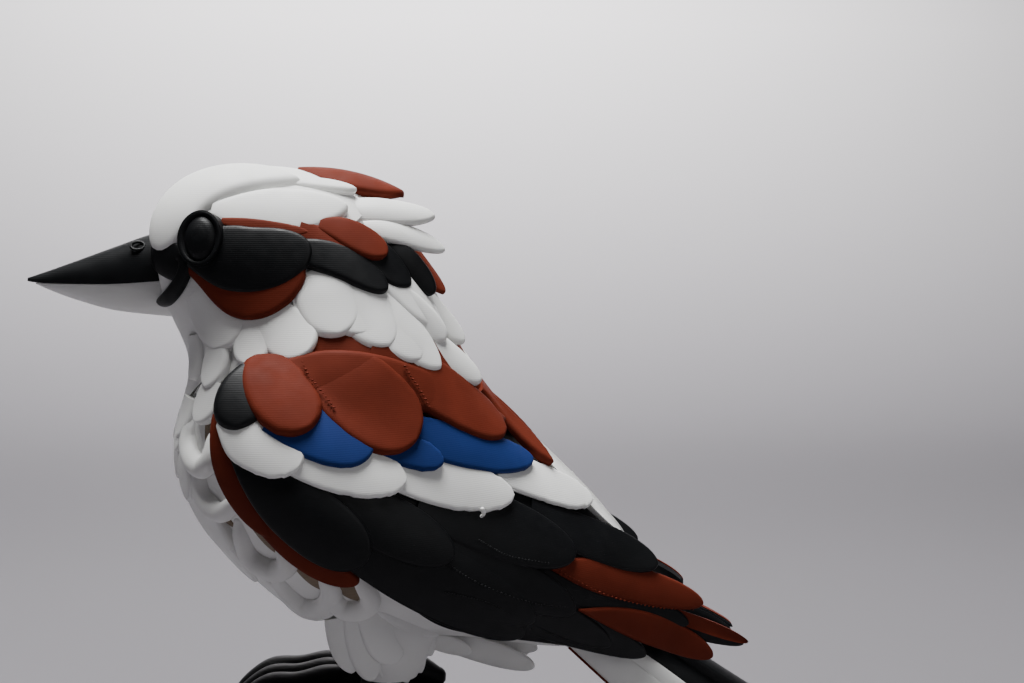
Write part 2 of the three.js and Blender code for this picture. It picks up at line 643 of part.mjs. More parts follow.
// ---- legs and rock ------------------------------------------------------------------------------
const toe = (aside) => bar([
  [2, -FOOT_SPREAD - aside * 0.2, 24.2, TOE_RADIUS],
  [-9, -FOOT_SPREAD - aside * 0.9, 23.1, TOE_RADIUS],
  [-20, -FOOT_SPREAD - aside, 22.3, TOE_RADIUS],
  [-25.6, -FOOT_SPREAD - aside, 19.4, TOE_RADIUS * 0.8],
  [-27.6, -FOOT_SPREAD - aside, 16.2, TOE_RADIUS * 0.6],
]);
pair('foot', BLACK, [
  toe(-TOE_SPREAD),
  toe(0),
  toe(TOE_SPREAD),
  bar([
    [2, -FOOT_SPREAD, 24.0, TOE_RADIUS],
    [11, -FOOT_SPREAD, 23.2, TOE_RADIUS],
    [14.4, -FOOT_SPREAD, 21.0, TOE_RADIUS * 0.66],
  ]),
  bar([
    [1.5, -FOOT_SPREAD, 23.5, 3.6],
    [2.5, -FOOT_SPREAD, 33.5, 3.4],
  ], 7),
]);
// ---- tail, from the top feather down ------------------------------------------------------------
const TAIL = { base: 0.7, widest: 0.6, blunt: 2.6, thick: 2.2, rows: 6, flat: false };
whole('tail_top', BLACK, free([
  [[40, 0, 47.1], [99.7, 0, 6.9], 9, [0.56, 0, 0.83], 9, { thick: 2.6 }],
], TAIL), false);
pair('tail_black', BLACK, free([
  [[40, -2.8, 45], [93.4, -5.4, 4.6], 9, [0.39, -0.77, 0.51], 9],
], TAIL));
pair('tail_white', WHITE, free([
  [[38, -4.6, 42.5], [85.2, -9.4, 4.6], 9, [0.17, -0.97, 0.2], 9],
  [[36, -5, 39.5], [76, -11.4, 5.0], 8, [0.06, -1, 0.06], 9],
], TAIL));

// ---- cores --------------------------------------------------------------------------------------
// Under the collar and the mantle the torso lies a little lower, so that they clear it.
const YOKE = 1.2;
const ramp = (v, from, to) => Math.min(1, Math.max(0, (v - from) / (to - from)));
function corePoint(s, degrees) {
  const { p, n } = frameAt(core, [s, degrees]);
  const round = Math.min(degrees, 360 - degrees);
  const low = YOKE * ramp(round, 86, 72) * ramp(s, 11.6, 10.4) * ramp(s, 6.3, 6.35);
  return add(p, n, -low);
}
const corePart = (from, to, rings) => () => skin(Array.from({ length: rings }, (_, i) => (
  Array.from({ length: CORE_SIDES }, (_, j) => {
    return corePoint(mix(from, to, i / (rings - 1)), 360 * j / CORE_SIDES);
  }))));
whole('head', WHITE, [corePart(0, CORE_SPLIT - 0.05, 7)], false);
whole('torso', WHITE, [corePart(CORE_SPLIT + 0.05, 16, 10)], false);

// rock: level, share of the full length and breadth
const ROCK = [
  [0, 0.95],
  [4, 1],
  [12, 0.96],
  [19, 0.8],
  [23.4, 0.55],
  [24.5, 0.3],
];
whole('rock', BLACK, [() => skin(ROCK.map(([z, share]) => (
  Array.from({ length: 18 }, (_, j) => {
    const t = 2 * Math.PI * j / 18;
    const wave = 1 + 0.03 * Math.cos(3 * t) + 0.02 * Math.cos(5 * t);
    return [
      ROCK_LENGTH / 2 * share * wave * Math.cos(t),
      ROCK_BREADTH / 2 * share * wave * Math.sin(t),
      z * ROCK_HEIGHT / 24.5,
    ];
  }))))], false);

// ---- cut, join and keep one closed body for each node -------------------------------------------
const join = (solids) => solids.reduce((sum, one) => sum.add(one));
const nodes = new Map();
const clears = [];
const rooms = [wingRoom(), mirror(wingRoom())].map(solid);
for (const { name, material, pieces, clearOf } of layers) {
  let body = join(pieces.map((piece) => solid(piece.body)));
  if (name === 'torso') body = rooms.reduce((rest, room) => rest.subtract(room), body);
  for (const above of clears) {
    if (above.name !== name && !clearOf.includes(above.name)) body = body.subtract(above.solid);
  }
  clears.push({ name, solid: join(pieces.map((piece) => solid(piece.clear))) });
  if (nodes.has(name)) nodes.get(name).body = nodes.get(name).body.add(body);
  else nodes.set(name, { material, body });
}

const largest = (body) => body.decompose().sort((a, b) => b.volume() - a.volume())[0];
const group = new THREE.Group();
for (const [name, { material, body }] of nodes) {
  const bodies = body.decompose().sort((a, b) => b.volume() - a.volume());
  const kept = largest(bodies[0].simplify(0.2));
  const { vertProperties, triVerts } = kept.getMesh();
  const geometry = new THREE.BufferGeometry();
  geometry.setAttribute('position', new THREE.Float32BufferAttribute(vertProperties, 3));
  geometry.setIndex(Array.from(triVerts));
  geometry.computeVertexNormals();
  const mesh = new THREE.Mesh(geometry, material);
  mesh.name = name;
  group.add(mesh);
}

export default group;
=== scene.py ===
"""Perched kookaburra figure, printed in four colours of plastic, on a low black rock.

Sizes are in millimetres until a mesh is made, which is in metres.  The bird faces -X, its left
side is -Y and Z is up.  The body is a smooth core with overlapping feathers laid on it in tiers:
a feather is a closed plate that follows a guide surface, a function of two numbers, from its root
to its tip.  Each colour of each part is one piece, and the far side mirrors the near one.
"""

import bpy
import numpy as np
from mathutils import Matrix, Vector


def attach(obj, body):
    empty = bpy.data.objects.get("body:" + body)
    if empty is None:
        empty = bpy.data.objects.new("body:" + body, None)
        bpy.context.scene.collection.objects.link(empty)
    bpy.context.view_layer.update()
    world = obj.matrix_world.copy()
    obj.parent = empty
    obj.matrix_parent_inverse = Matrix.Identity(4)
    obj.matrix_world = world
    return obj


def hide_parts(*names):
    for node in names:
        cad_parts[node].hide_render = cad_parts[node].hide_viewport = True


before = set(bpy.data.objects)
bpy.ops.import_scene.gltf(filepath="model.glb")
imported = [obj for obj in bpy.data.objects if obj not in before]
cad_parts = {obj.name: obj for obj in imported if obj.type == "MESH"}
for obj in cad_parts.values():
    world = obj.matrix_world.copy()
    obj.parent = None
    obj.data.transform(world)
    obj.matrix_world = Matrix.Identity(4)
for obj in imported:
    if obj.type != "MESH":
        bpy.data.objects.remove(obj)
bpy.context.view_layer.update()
rng = np.random.default_rng(7)

# ---- driving sizes ----------------------------------------------------------------------------
EDGE = 0.55             # rounding of a feather's upper edge
ON = -0.3               # depth of a feather's back under its guide: below zero, so just over it
TUCK_SHARE = 0.45       # share of a feather's length over which its root dips
LAST_RING = 0.9992      # share of a feather's length where its last ring is
END_RINGS = 6           # rings in each rounded end of a tube
END_LENGTH = 0.9        # length of that end over its radius
LAYER = 0.36            # spacing of the fine level lines of a print, chosen for looks
RELIEF = 0.12           # depth of the bump of those lines and of the orange-peel, at full strength
CLOUD, WEAR, PEEL = 160, 420, 900   # scales of the clouds of colour, the dull spots and the peel

ROCK_LENGTH, ROCK_BREADTH, ROCK_HEIGHT = 61.6, 51.6, 20.4
FOOT_SPREAD, TOE_SPREAD, TOE_RADIUS = 10, 5, 3.3

# ---- guide surfaces ---------------------------------------------------------------------------


def unit(v):
    return v / np.maximum(np.linalg.norm(v, axis=-1, keepdims=True), 1e-9)


def inner(a, b):
    return (a * b).sum(-1, keepdims=True)


def through(table, t):
    """A smooth curve through the rows of a table, at row t: a cubic between two rows, whose slope
    at a row is half the step between the row before and the row after."""
    rows = np.asarray(table, float)
    rows = np.concatenate([2 * rows[:1] - rows[1:2], rows, 2 * rows[-1:] - rows[-2:-1]])
    t = np.clip(t, 0, len(table) - 1)
    i = np.minimum(t.astype(int), len(table) - 2)
    f = (t - i)[..., None]
    a, b, c, d = (rows[i + k] for k in range(4))
    return 0.5 * (2 * b + (c - a) * f + (2 * a - 5 * b + 4 * c - d) * f ** 2
                  + (3 * b - a - 3 * c + d) * f ** 3)


def columns(table, count):
    """The columns of a table as smooth curves of count values, each of them upright."""
    return through(table, np.linspace(0, len(table) - 1, count)).T[..., None]


def turn(count):
    """Evenly spaced angles round a full turn."""
    return np.linspace(0, 2 * np.pi, count, endpoint=False)


class Guide:
    """A surface that feathers lie on: at(a, b) is its point, step the small steps that its tangents
    are taken over, and out(point, place) a vector on its outer side."""

    def __init__(self, at, step, out):
        self.at, self.step, self.out = at, np.array(step), out

    def frame(self, place):
        """Point, the two tangents and the unit normal that points out."""
        a, b = place[..., 0], place[..., 1]
        ha, hb = self.step
        p = self.at(a, b)
        pa = (self.at(a + ha, b) - self.at(a - ha, b)) / (2 * ha)
        pb = (self.at(a, b + hb) - self.at(a, b - hb)) / (2 * hb)
        n = unit(np.cross(pa, pb))
        return p, pa, pb, n * np.where(inner(n, self.out(p, place)) < 0, -1, 1)

    def slide(self, place, vector):
        """Move a place so that its point goes by a tangent vector: the vector's shares of the two
        tangents, from the two-by-two system of their products."""
        _, pa, pb, _ = self.frame(place)
        aa, bb, ab = inner(pa, pa), inner(pb, pb), inner(pa, pb)
        va, vb = inner(vector, pa), inner(vector, pb)
        d = aa * bb - ab * ab + 1e-9
        return place + np.concatenate([(va * bb - vb * ab) / d, (vb * aa - va * ab) / d], -1)


# the core, from the forehead (0) over the crown and round the nape down to the tail root (16):
# front x, front z, back x, back z and half breadth of each slanted oval section
CORE = [
    [-38.9, 109.9, -39.6, 114.9, 4.5], [-38.3, 103.2, -38.1, 120.7, 10],
    [-36.9, 98.9, -33.4, 125.5, 13], [-35.1, 94.6, -26.2, 128.1, 15],
    [-34.2, 91.4, -17.2, 128.5, 16.5], [-34.3, 87.9, -8.1, 127.0, 17.5],
    [-35.1, 83.9, -0.3, 123.5, 18.5], [-36.2, 79.6, 5.5, 117.3, 20.5],
    [-36.9, 74.8, 9.8, 108.6, 23.5], [-36.4, 69.2, 14.1, 99.4, 27],
    [-34.2, 62.9, 19.3, 89.2, 29], [-29.6, 56.1, 27.0, 78.6, 30],
    [-22.3, 48.7, 35.2, 68.5, 29], [-12.0, 41.5, 43.5, 58.8, 25.5],
    [0.7, 36.8, 51.5, 49.4, 20.5], [15.0, 34.8, 58.3, 40.2, 14.5],
    [29.0, 32.0, 63.1, 33.0, 8.5],
]


def core_at(s, degrees):
    """An oval section: its middle, plus half its front-to-back line times the cosine of the angle
    from the back, plus its half breadth times the sine towards the left."""
    row = through(CORE, s)
    fx, fz, bx, bz, w = (row[..., k] for k in range(5))
    c, q = np.cos(np.radians(degrees)), np.sin(np.radians(degrees))
    return np.stack([(fx + bx) / 2 + (bx - fx) / 2 * c, -w * q,
                     (fz + bz) / 2 + (bz - fz) / 2 * c], -1)


def core_out(p, place):
    """From the middle of the section to the point."""
    fx, fz, bx, bz, _ = np.moveaxis(through(CORE, place[..., 0]), -1, 0)
    return p - np.stack([(fx + bx) / 2, 0 * fx, (fz + bz) / 2], -1)


core = Guide(core_at, (0.01, 0.2), core_out)

# the folded wing: half breadth, place of its widest line and curvature, at even steps of its length
WING_SLOPE, WING_X, WING_Z = np.radians(27), -30, 82
WING_START, WING_STEP = -6, 12
WING_LEAST, WING_TURN = 2.5, 2      # least half breadth, and size of the smooth turn down to it
OVER_SINK, OVER_TURN = 0.4, 1.5     # sink of the core under the wing's guide, and turn between them
WING = [
    [25.5, 2, 0.040], [31.5, 0, 0.036], [35, -3, 0.031], [36, -6, 0.027], [34.5, -8, 0.026],
    [31, -9, 0.026], [26, -8, 0.026], [20, -6, 0.026], [14, -4, 0.024], [9.5, -2, 0.018],
    [6.5, 0, 0.010], [5, 2, 0.010],
]


def wing_at(x, z):
    """The breadth falls with the square of the distance from the widest line of the wing, and a
    smooth floor keeps it off the middle plane."""
    along = (x - WING_X) * np.cos(WING_SLOPE) - (z - WING_Z) * np.sin(WING_SLOPE)
    up = (x - WING_X) * np.sin(WING_SLOPE) + (z - WING_Z) * np.cos(WING_SLOPE)
    row = through(WING, (along - WING_START) / WING_STEP)
    y = row[..., 0] - row[..., 2] * (up - row[..., 1]) ** 2
    return np.stack([x, -0.5 * (y + WING_LEAST + np.hypot(y - WING_LEAST, WING_TURN)), z], -1)


def over_at(x, z):
    """The wing where it stands out of the core and else the core, with a smooth turn between."""
    y, under = -wing_at(x, z)[..., 1], core_breadth(x, z) - OVER_SINK
    return np.stack([x, -0.5 * (y + under + np.hypot(y - under, OVER_TURN)), z], -1)


SECTIONS = through(CORE, np.linspace(0, len(CORE) - 1, 257))


def core_breadth(x, z):
    """Half breadth of the core at a place of the side view: the section line through the place is
    found where the side that the place lies on changes, and the oval gives the breadth there."""
    fx, fz, bx, bz, w = SECTIONS.T
    run = np.hypot(bx - fx, bz - fz)
    side = ((x[..., None] - fx) * (bz - fz) - (z[..., None] - fz) * (bx - fx)) / run
    flips = (side[..., :-1] >= 0) != (side[..., 1:] >= 0)
    share = ((x[..., None] - fx) * (bx - fx) + (z[..., None] - fz) * (bz - fz)) / run ** 2
    breadth = w * np.sqrt(np.clip(1 - (2 * share - 1) ** 2, 0, None))
    t = side[..., :-1] / np.where(flips, side[..., :-1] - side[..., 1:], 1)
    between = breadth[..., :-1] + t * (breadth[..., 1:] - breadth[..., :-1])
    return np.where(flips, between, 0).max(-1)


def wing_place(along, up):
    """Place in the side view from lengths along the wing's slope and across it."""
    return np.stack([WING_X + along * np.cos(WING_SLOPE) + up * np.sin(WING_SLOPE),
                     WING_Z - along * np.sin(WING_SLOPE) + up * np.cos(WING_SLOPE)], -1)


def leftwards(p, _):
    return np.broadcast_to([0.0, -1.0, 0.0], p.shape)


wing = Guide(over_at, (0.3, 0.3), leftwards)


def thigh_at(x, z):
    """A shallow bulge: its breadth falls with the squares of the distances from its middle."""
    return np.stack([x, -(20 - (x + 2) ** 2 / 32 - (z - 45) ** 2 / 45), z], -1)


thigh = Guide(thigh_at, (0.05, 0.05), leftwards)


def rib(root, tip, up, radius):
    """The guide of a free feather: a straight rib, with the vane bent down on both sides of it by
    the square of the distance over twice the radius."""
    root, tip, up = (np.array(q, float) for q in (root, tip, up))
    run = unit(tip - root)
    normal = unit(up - run * (up @ run))
    side = np.cross(normal, run)

    def at(a, b):
        fall = (b ** 2 / (2 * radius))[..., None]
        return root + run * a[..., None] + side * b[..., None] - normal * fall

    guide = Guide(at, (0.05, 0.05), lambda p, _: np.broadcast_to(normal, p.shape))
    guide.length = float(np.linalg.norm(tip - root))
    return guide


# ---- surfaces ---------------------------------------------------------------------------------


def feather(guide, root, tip, width, bow=0, base=0.8, widest=0.45, blunt=2.4, lift=(1, 2),
            depth=ON, camber=0, by=None, thick=0, edge=EDGE, crown=0.25, ragged=0, nu=40, nv=21,
            tuck=0, swell=1):
    """A feather as rings of points from its root to its tip.

    The midrib runs on the guide from root to tip (through the place by, if any), bent sideways by
    bow times a parabola.  The half width swells up to widest as a sine, to the power swell, and
    closes as a rounded curve of power blunt.  ragged wears it unevenly.  The face stands over the
    guide by lift, root to tip, with camber along the rib and crown across it, and its root dips by
    tuck; within edge of the outline it falls away as a quarter round.  The back lies depth under
    the guide, or thick under the face, and thinner towards the tip."""
    k = np.linspace(0, 1, nu)
    u = np.sin(k * np.pi / 2) * LAST_RING
    root, tip = np.array(root, float), np.array(tip, float)
    if by is None:
        middle = root + (tip - root) * u[:, None]
    else:
        bend = 2 * (np.array(by, float) - 0.25 * root - 0.25 * tip)
        w = u[:, None]
        middle = root * (1 - w) ** 2 + 2 * bend * w * (1 - w) + tip * w ** 2

    def along(places):
        p, _, _, n = guide.frame(places)
        run = unit(np.gradient(p, axis=0))
        return p, n, unit(np.cross(n, run))

    p, n, side = along(middle)
    middle = guide.slide(middle, side * (bow * 4 * u * (1 - u))[:, None])
    p, n, side = along(middle)
    length = np.concatenate([[0], np.cumsum(np.linalg.norm(np.diff(p, axis=0), axis=-1))])
    opening = base + (1 - base) * np.sin(np.pi / 2 * np.minimum(u / widest, 1)) ** swell
    closing = np.sqrt(np.clip(1 - np.clip((u - widest) / (1 - widest), 0, 1) ** blunt, 0, 1))
    half = width / 2 * np.where(u < widest, opening, closing)
    if ragged:
        wear = np.interp(np.arange(nu), np.arange(0, nu + 2, 2), rng.normal(0, ragged, nu // 2 + 1))
        half = np.maximum(half + wear * np.clip((u - 0.3) * 3, 0, 1), 0.02)
    slope = np.gradient(half, length + 1e-6 * np.arange(nu))

    across = np.sin(np.linspace(-1, 1, nv) * np.pi / 2)
    back = np.linspace(1, -1, 7)

    def spread(v):
        """Places and guide points at shares v of the half width, by two half steps."""
        places = np.repeat(middle[:, None], len(v), 1)
        way = side[:, None] * (half[:, None] * v)[..., None] / 2
        places = guide.slide(places, way)
        normal = guide.frame(places)[3]
        places = guide.slide(places, way - normal * inner(way, normal))
        q, _, _, m = guide.frame(places)
        return q, m

    height = (lift[0] + (lift[1] - lift[0]) * u ** 2 + camber * 4 * u * (1 - u)
              - tuck * np.clip(1 - u / TUCK_SHARE, 0, 1) ** 2)
    inward = half[:, None] * (1 - np.abs(across)) / np.sqrt(1 + slope[:, None] ** 2)
    round_off = edge - np.sqrt(np.clip(edge ** 2 - np.clip(edge - inward, 0, edge) ** 2, 0, None))
    bulge = crown * (1 - across ** 2) * np.minimum(half[:, None] / 5, 1.6)
    q, m = spread(across)
    face = q + m * (height[:, None] - round_off + bulge)[..., None]
    q, m = spread(back)
    floor = height - thick * (1 - 0.5 * u ** 3) if thick else np.full(nu, -float(depth))
    under = q + m * (floor[:, None] + 0.3 * np.abs(back) ** 6)[..., None]
    return np.concatenate([face, under], 1)


def tube(points, radii, flat=1.0, sides=20, rings=48, up=(0, 0, 1)):
    """A rounded bar: circles of the given radii carried along a smooth curve through the points,
    flattened by flat across up, and closed by half-round ends."""
    t = np.linspace(0, len(points) - 1, rings)
    middle = through(np.array(points, float), t)
    r = through(np.array(radii, float)[:, None], t)[:, 0]
    run = unit(np.gradient(middle, axis=0))
    side = unit(np.cross(np.array(up, float), run))
    top = np.cross(run, side)
    end = np.sin(np.linspace(0, np.pi / 2, END_RINGS + 1))[:-1]
    share = np.sqrt(np.clip(1 - (1 - end) ** 2, 0.0004, 1))
    back, out = r[0] * (1 - end) * END_LENGTH, r[-1] * (1 - end[::-1]) * END_LENGTH
    start = (middle[0] - run[0] * back[:, None], share * r[0],
             side[:1].repeat(END_RINGS, 0), top[:1].repeat(END_RINGS, 0))
    stop = (middle[-1] + run[-1] * out[:, None], share[::-1] * r[-1],
            side[-1:].repeat(END_RINGS, 0), top[-1:].repeat(END_RINGS, 0))
    middle, r, side, top = (np.concatenate(x) for x in zip(start, (middle, r, side, top), stop))
    a = turn(sides)
    return (middle[:, None] + side[:, None] * (r[:, None] * np.cos(a))[..., None]
            + top[:, None] * (r[:, None] * np.sin(a) * flat)[..., None])


def oval_stack(levels, sides=64, rings=60):
    """Level ovals through a table of height, middle x, middle y, half length and half breadth."""
    z, x, y, long, broad = columns(levels, rings)
    a = turn(sides)
    return np.stack([x + long * np.cos(a), y + broad * np.sin(a), z + 0 * a], -1)


def beads(points, radius, seed):
    """Small flattened balls at points, each a little different: the blobs where a nozzle stops."""
    draw = np.random.default_rng(seed)
    a, b = turn(8), np.linspace(-1.45, 1.45, 6)
    ball = np.stack([np.cos(b)[:, None] * np.cos(a), np.cos(b)[:, None] * np.sin(a),
                     np.sin(b)[:, None] + 0 * a], -1)
    size = radius * draw.uniform(0.55, 1.15, (len(points), 1, 1, 1)) * [1, 1, 0.7]
    return list(np.array(points)[:, None, None] + ball * size)


def seam(guide, places, lift, count, radius, seed):
    """Beads in a line along places on a guide, with their middles lift over it."""
    p, _, _, n = guide.frame(through(places, np.linspace(0, len(places) - 1, count)))
    return beads(p + n * lift, radius, seed)


# ---- materials --------------------------------------------------------------------------------


def two_tone(nodes, spots, colours):
    """A ramp node between two colours."""
    node = nodes.new("ShaderNodeValToRGB")
    for element, spot, value in zip(node.color_ramp.elements, spots, colours):
        element.position = spot
        element.color = (*value, 1)
    return node


def printed(name, colour, roughness, ridge, patch=0.06, through_light=0.0, gloss=0.5):
    """Printed plastic: one colour with faint cloudy variation, level lines like those of printed
    layers and a slight orange-peel, both as bump."""
    material = bpy.data.materials.new(name)
    material.use_nodes = True
    nodes, links = material.node_tree.nodes, material.node_tree.links
    shader = nodes["Principled BSDF"]
    shader.inputs["Specular IOR Level"].default_value = gloss
    shader.inputs["Subsurface Weight"].default_value = through_light
    shader.inputs["Subsurface Radius"].default_value = (0.004, 0.004, 0.0035)
    shader.inputs["Subsurface Scale"].default_value = 0.4
    place = nodes.new("ShaderNodeTexCoord")

    def noise(scale, detail=3.0):
        node = nodes.new("ShaderNodeTexNoise")
        node.inputs["Scale"].default_value = scale
        node.inputs["Detail"].default_value = detail
        links.new(place.outputs["Object"], node.inputs["Vector"])
        return node

    def bump(height, strength):
        node = nodes.new("ShaderNodeBump")
        node.inputs["Strength"].default_value = strength
        node.inputs["Distance"].default_value = RELIEF / 1000
        links.new(height.outputs["Fac"], node.inputs["Height"])
        return node

    def vary(scale, low, high, socket):
        ramp = two_tone(nodes, (0.3, 0.7), (low, high))
        links.new(noise(scale).outputs["Fac"], ramp.inputs["Fac"])
        links.new(ramp.outputs["Color"], shader.inputs[socket])

    tint = np.array(colour)
    vary(CLOUD, tint * (1 - patch), np.minimum(tint * (1 + patch), 1), "Base Color")
    vary(WEAR, [roughness - 0.05] * 3, [roughness + 0.07] * 3, "Roughness")

    lines = nodes.new("ShaderNodeTexWave")
    lines.wave_type, lines.bands_direction = "BANDS", "Z"
    lines.inputs["Scale"].default_value = 2 * np.pi / (20 * LAYER / 1000)
    lines.inputs["Distortion"].default_value = 0.6
    lines.inputs["Detail"].default_value = 1.0
    lines.inputs["Detail Scale"].default_value = 0.15
    links.new(place.outputs["Object"], lines.inputs["Vector"])
    level, peel = bump(lines, ridge), bump(noise(PEEL, 2.0), 0.10)
    links.new(level.outputs["Normal"], peel.inputs["Normal"])
    links.new(peel.outputs["Normal"], shader.inputs["Normal"])
    return material


white = printed("white_plastic_print", (0.80, 0.80, 0.78), 0.55, 0.10, patch=0.015,
                through_light=0.12)
brown = printed("brown_plastic_print", (0.118, 0.0205, 0.0105), 0.62, 0.08, patch=0.10, gloss=0.06)
blue = printed("blue_plastic_print", (0.0140, 0.031, 0.132), 0.62, 0.08, patch=0.06, gloss=0.06)
black = printed("black_plastic_print", (0.0046, 0.0050, 0.0058), 0.46, 0.09, patch=0.15, gloss=0.18)
# painted shade: a dull tan where the white plastic inside the breast openings lies in shade
hollow_shade = printed("painted_shade_in_openings", (0.20, 0.15, 0.10), 0.6, 0.5, patch=0.25)    # inside the openings

# ---- pieces -----------------------------------------------------------------------------------


def mirrored(rings):
    return rings * [1, -1, 1]


def two_sided(rings):
    return list(rings) + [mirrored(r) for r in rings]


def outward(stack):
    """The stack of rings, turned where needed so that its skin holds a positive volume."""
    near = stack - stack.mean((0, 1))
    a, b = near[:-1], np.roll(near[:-1], -1, 1)
    c, d = np.roll(near[1:], -1, 1), near[1:]
    volume = (np.cross(b, c) * a).sum() + (np.cross(c, d) * a).sum()
    return stack[:, ::-1] if volume < 0 else stack


def skin(n, m, start):
    """Faces over n rings of m points, numbered from start: ring to ring, with a cap at each end."""
    i, j = np.meshgrid(np.arange(n - 1), np.arange(m), indexing="ij")
    k = (j + 1) % m
    quads = np.stack([i * m + j, i * m + k, (i + 1) * m + k, (i + 1) * m + j], -1).reshape(-1, 4)
    caps = np.stack([np.arange(m)[::-1], (n - 1) * m + np.arange(m)])
    return (quads + start).tolist() + (caps + start).tolist()


def build(name, material, rings, extra=(), second=None):
    """One piece from closed stacks of rings, which stands for the node of its name.  extra holds
    stacks in the second material."""
    points, faces, paints = [], [], []
    start = 0
    for index, stack in [(0, r) for r in rings] + [(1, r) for r in extra]:
        n, m, _ = stack.shape
        new = skin(n, m, start)
        points.append(outward(stack).reshape(-1, 3))
        faces += new
        paints += [index] * len(new)
        start += n * m
    mesh = bpy.data.meshes.new(f"{name}_print")
    mesh.from_pydata(np.concatenate(points) / 1000, [], faces)
    mesh.materials.append(material)
    if extra:
        mesh.materials.append(second)
        mesh.polygons.foreach_set("material_index", np.array(paints, np.int32))
    mesh.polygons.foreach_set("use_smooth", np.ones(len(mesh.polygons), bool))
    mesh.set_sharp_from_angle(angle=np.radians(48))
    mesh.update()
    piece = bpy.data.objects.new(f"{name}_print", mesh)
    bpy.context.scene.collection.objects.link(piece)
    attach(piece, "root")
    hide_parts(name)


def both(name, material, rings, extra=(), second=None):
    """A piece on the left and its mirror on the right."""
    build(f"{name}_left", material, rings, extra, second)
    build(f"{name}_right", material, [mirrored(r) for r in rings],
          [mirrored(r) for r in extra], second)


def laid(guide, rows, **common):
    """Feathers on a guide from rows of root, tip, width and own settings."""
    return [feather(guide, root, tip, width, **{**common, **(own[0] if own else {})})
            for root, tip, width, *own in rows]


def loose(rows, **common):
    """Free feathers from rows of root, tip, width, upward vector, vane radius and own settings."""
    made = []
    for root, tip, width, up, radius, *own in rows:
        guide = rib(root, tip, up, radius)
        settings = {"lift": (0, 0), "thick": 1.8, **common, **(own[0] if own else {})}
        made.append(feather(guide, (0, 0), (guide.length, 0), width, **settings))
    return made


def core_part(first, last, rings=90, sides=80, low=0.0):
    """The core itself between two sections, sunk a little under its guide."""
    place = np.meshgrid(np.linspace(first, last, rings),
                        np.linspace(0, 360, sides, endpoint=False), indexing="ij")
    p, _, _, n = core.frame(np.stack(place, -1))
    return p - n * low


# ---- eye --------------------------------------------------------------------------------------
EYE = core.at(np.array(3.2), np.array(80.0))
EYE_AXIS = unit(np.array([-0.34, -0.92, 0.20]))
# radius and height, from the foot over the ring and the groove to the top of the dome
EYE_PROFILE = [
    [5.1, -3.0], [5.1, 1.7], [5.0, 2.0], [4.7, 2.15], [4.4, 2.05], [4.25, 1.8], [4.1, 1.7],
    [3.9, 1.9], [3.5, 2.25], [3.0, 2.55], [2.3, 2.8], [1.6, 3.0], [0.8, 3.1], [0.02, 3.12],
]


def eye():
    """A dome round an axis that looks a little forward, with a fine groove and a low rounded ring
    round its foot, narrower across than it is high."""
    side = unit(np.cross([0, 0, 1.0], EYE_AXIS))
    up = np.cross(EYE_AXIS, side)
    r, h = columns(EYE_PROFILE, 80)[..., None]
    a = turn(72)[:, None]
    narrow = np.interp(r, [4.1, 4.8], [0.74, 0.86])
    return EYE + EYE_AXIS * h + side * (narrow * r * np.cos(a)) + up * (r * np.sin(a))


both("eye", black, [eye()])

# ---- bill -------------------------------------------------------------------------------------
# x, gape z, ridge z (or keel z) and half breadth, from the base to the tip
BILL_UPPER = [
    [-33, 106.8, 117.0, 8.4], [-40.5, 106.2, 115.4, 7.0], [-46, 105.8, 113.5, 5.5],
    [-52.5, 105.8, 111.1, 4.2], [-58.5, 105.9, 108.9, 2.8], [-62.5, 106.0, 107.5, 1.7],
    [-64.3, 106.2, 106.9, 0.5],
]
BILL_LOWER = [
    [-33, 106.8, 98.9, 6.6], [-38, 106.4, 99.3, 6.2], [-48, 105.8, 100.5, 4.7],
    [-55.3, 105.8, 102.6, 3.4], [-60, 105.9, 104.4, 2.0], [-62.8, 106.0, 105.7, 0.6],
]


def bill_half(table, sense):
    """Half an oval section on the gape line, from the base to the tip."""
    x, gape, rim, half = columns(table, 60)
    a = np.linspace(0, np.pi, 33)
    gape = gape + sense * 0.05
    y = half * np.sign(np.cos(a)) * np.abs(np.cos(a)) ** 0.9
    face = np.stack([x + 0 * a, y, gape + (rim - gape) * np.sin(a) ** 0.85], -1)
    back = np.linspace(-0.92, 0.92, 7)
    floor = np.stack([x + 0 * back, half * back, gape + 0 * back], -1)
    return np.concatenate([face, floor], 1)


def nostril():
    """A small raised oval ring on the side of the bill."""
    a, b = turn(36), turn(12)[:, None]
    middle = np.array([-42.7, -4.7, 113.0])
    loop = middle + np.stack([1.25 * np.cos(a), 0.55 * np.sin(a), 0.75 * np.sin(a)], -1)
    run = unit(np.roll(loop, -1, 0) - np.roll(loop, 1, 0))
    out = unit(np.array([-0.1, -0.8, 0.55]))
    side = np.cross(run, out)
    ring = loop[:, None] + 0.28 * (side[:, None] * np.cos(b) + out * np.sin(b))
    return np.concatenate([ring, ring[:1]])


# the black skin between the bill and the eye, laid on the core
lore = laid(core, [[[0.9, 92], [2.85, 101.5], 7.4, {"base": 0.8, "widest": 0.5, "blunt": 3.2}]],
            lift=(0.8, 0.9), depth=0.8, edge=0.7, crown=0.4)
build("bill_upper", black, [bill_half(BILL_UPPER, 1)] + two_sided([nostril()] + lore))
build("bill_lower", white, [bill_half(BILL_LOWER, -1)])
both("gape", black, laid(core, [
    [[2.5, 92], [1.3, 150], 2.9, {"by": [2.72, 109], "base": 0.8, "widest": 0.6, "blunt": 3.0,
                                  "lift": (1.5, 1.7), "edge": 1.0, "crown": 0.4}],
]))

